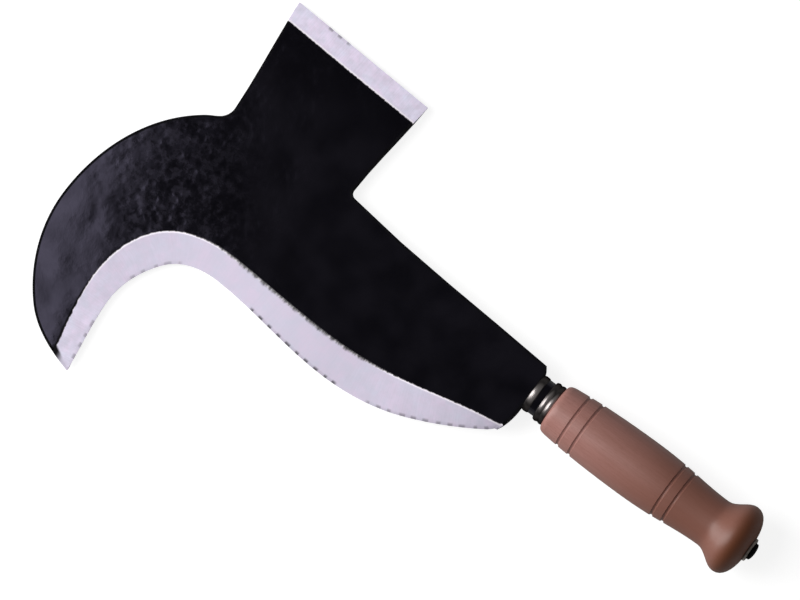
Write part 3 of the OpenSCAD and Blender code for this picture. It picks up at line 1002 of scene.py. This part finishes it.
class BILLHOOK_OT_blade(bpy.types.Operator):
    """Round the spine of the forging and finish it in black lacquer, with its bevels ground bright"""

    bl_idname = "billhook.blade"
    bl_label = "Blade"

    def execute(self, context):
        bm = bench_copy("blade")
        merge_flat(bm)
        mark_ground(bm)
        smooth_spine(bm)
        smooth_bevel_line(bm)
        set_off_rim(bm)
        round_spine(bm)
        lay_out_grinding(bm)
        shade(bm)
        bmesh.ops.triangulate(bm, faces=[f for f in bm.faces if len(f.verts) > 4])
        finishes = [black_lacquer(), ground_steel(), forge_black()]
        piece = hand_over(bm, "forged_blade", "blade", finishes)
        flat = piece.modifiers.new("flat cheeks", "WEIGHTED_NORMAL")
        flat.keep_sharp = True
        return {"FINISHED"}


class BILLHOOK_OT_fittings(bpy.types.Operator):
    """Finish the collar with its black neck, the ferrule and the washer at the butt"""

    bl_idname = "billhook.fittings"
    bl_label = "Collar, ferrule and washer"

    def execute(self, context):
        plating = polished_plating()
        self.finish_collar(plating)
        bm = turn_anew("ferrule")
        shade(bm)
        hand_over(bm, "beaded_ferrule", "ferrule", [plating])
        self.finish_washer()
        return {"FINISHED"}

    def finish_collar(self, plating):
        bm = turn_anew("collar")
        middle = min(v.co.x for v in bm.verts) / 2
        for face in bm.faces:
            # The neck is the plain cylinder in the rear half.
            if abs(face.normal.x) < CYLINDER and min(v.co.x for v in face.verts) < middle:
                face.material_index = NECK
        shade(bm)
        hand_over(bm, "bolster_collar", "collar", [plating, bpy.data.materials["black lacquer"]])

    def finish_washer(self):
        bm = bench_copy("butt_washer")
        merge_flat(bm)
        rim = [e for e in bm.edges if len(e.link_faces) == 2 and e.calc_face_angle() > SHARP]
        round_edges(bm, rim, sizes().washer_round, 2)
        shade(bm)
        hand_over(bm, "rivet_washer", "butt_washer", [washer_steel()])


class BILLHOOK_OT_handle(bpy.types.Operator):
    """Finish the turned handle in satin lacquered beech"""

    bl_idname = "billhook.handle"
    bl_label = "Handle"

    def execute(self, context):
        bm = bench_copy("handle")
        shade(bm)
        wood = turned_wood(find_grooves(), outer_rings("handle")[0].x)
        hand_over(bm, "turned_handle", "handle", [wood])
        return {"FINISHED"}


# Stage

def picture_axes():
    """Right and up of the picture in the tool frame."""
    turn = stage().frame_turn
    right = Vector((-math.cos(turn), -math.sin(turn), 0.0))
    up = Vector((math.sin(turn), -math.cos(turn), 0.0))
    return right, up


class BILLHOOK_OT_stage(bpy.types.Operator):
    """Set the floor, the even light all round, the soft key light and the camera over the blade"""

    bl_idname = "billhook.stage"
    bl_label = "Stage"

    def execute(self, context):
        context.scene.view_settings.view_transform = "Standard"
        self.lay_floor()
        self.light_world()
        self.hang_key_light()
        self.set_camera()
        return {"FINISHED"}

    def lay_floor(self):
        material, tree, shader = new_material("pale floor", Roughness=0.9, Specular_IOR_Level=0.0)
        shader["Emission Color"].default_value = WHITE
        seen = add(tree, "ShaderNodeLightPath").outputs["Is Camera Ray"]
        plug(tree, mix(tree, seen, stage().floor_bounce, stage().floor_colour), shader["Base Color"])
        plug(tree, times(tree, seen, stage().floor_white), shader["Emission Strength"])
        bm = bmesh.new()
        bmesh.ops.create_grid(bm, x_segments=1, y_segments=1, size=FLOOR_SIZE)
        bmesh.ops.translate(bm, vec=(0.0, 0.0, CAD_BOX[0][2]), verts=bm.verts)
        floor = to_object(bm, "floor", [material])

    def light_world(self):
        world = bpy.data.worlds.new("even light")
        bpy.context.scene.world = world
        world.use_nodes = True
        tree = world.node_tree
        back = tree.nodes["Background"].inputs
        back["Color"].default_value = WHITE
        # The camera sees plain white past the floor.
        seen = add(tree, "ShaderNodeLightPath").outputs["Is Camera Ray"]
        plug(tree, ramp(tree, seen, 0.0, 1.0, stage().world_level, 1.0), back["Strength"])

    def hang_key_light(self):
        data = bpy.data.lights.new("key light", "AREA")
        data.energy = stage().key_power
        data.shape = "RECTANGLE"
        data.size = stage().key_width
        data.size_y = stage().key_length
        lamp = put_in_scene("key light", data)
        right, up = picture_axes()
        turn, lean = stage().key_turn, stage().key_lean
        aside = up * math.sin(turn) - right * math.cos(turn)
        over = Vector((0.0, 0.0, 1.0))
        out = aside * math.sin(lean) + over * math.cos(lean)
        long_way = over * math.sin(lean) - aside * math.cos(lean)
        spot = Vector((LIT_ALONG, LIT_ACROSS, 0.0)) + out * stage().key_away
        lamp.matrix_world = TOOL @ axes_matrix(long_way.cross(out), long_way, out, spot)

    def set_camera(self):
        data = bpy.data.cameras.new("camera")
        data.lens = stage().lens
        data.sensor_width = SENSOR_WIDTH
        data.clip_end = CAMERA_REACH
        camera = put_in_scene("camera", data)
        right, up = picture_axes()
        away = stage().frame_width * data.lens / data.sensor_width
        over = axes_matrix(right, up, right.cross(up), (0.0, 0.0, away))
        aim = Matrix.Translation((stage().centre_along, stage().centre_across, 0.0))
        # The camera leans over the handle, whose turned rings show as slight arcs.
        lean = Matrix.Rotation(-stage().camera_lean, 4, "Y")
        camera.matrix_world = TOOL @ aim @ lean @ over
        bpy.context.scene.camera = camera


class BILLHOOK_PT_panel(bpy.types.Panel):
    """Lists the steps that dress the billhook"""

    bl_idname = "BILLHOOK_PT_panel"
    bl_label = "Billhook"
    bl_space_type = "VIEW_3D"
    bl_region_type = "UI"
    bl_category = "Billhook"

    def draw(self, context):
        for step in OPERATORS:
            self.layout.operator(step.bl_idname)
        for group in (sizes(), colours(), stage()):
            box = self.layout.box()
            for key in group.__annotations__:
                box.prop(group, key)


OPERATORS = (BILLHOOK_OT_blade, BILLHOOK_OT_fittings, BILLHOOK_OT_handle, BILLHOOK_OT_stage)
CLASSES = (BillhookSizes, BillhookColours, BillhookStage, *OPERATORS, BILLHOOK_PT_panel)


def register():
    for cls in CLASSES:
        bpy.utils.register_class(cls)
    bpy.types.Scene.billhook_sizes = PointerProperty(type=BillhookSizes)
    bpy.types.Scene.billhook_colours = PointerProperty(type=BillhookColours)
    bpy.types.Scene.billhook_stage = PointerProperty(type=BillhookStage)


def unregister():
    del bpy.types.Scene.billhook_stage
    del bpy.types.Scene.billhook_colours
    del bpy.types.Scene.billhook_sizes
    for cls in reversed(CLASSES):
        bpy.utils.unregister_class(cls)


def main():
    register()
    bpy.ops.billhook.blade()
    bpy.ops.billhook.fittings()
    bpy.ops.billhook.handle()
    bpy.ops.billhook.stage()


if __name__ == "__main__":
    main()
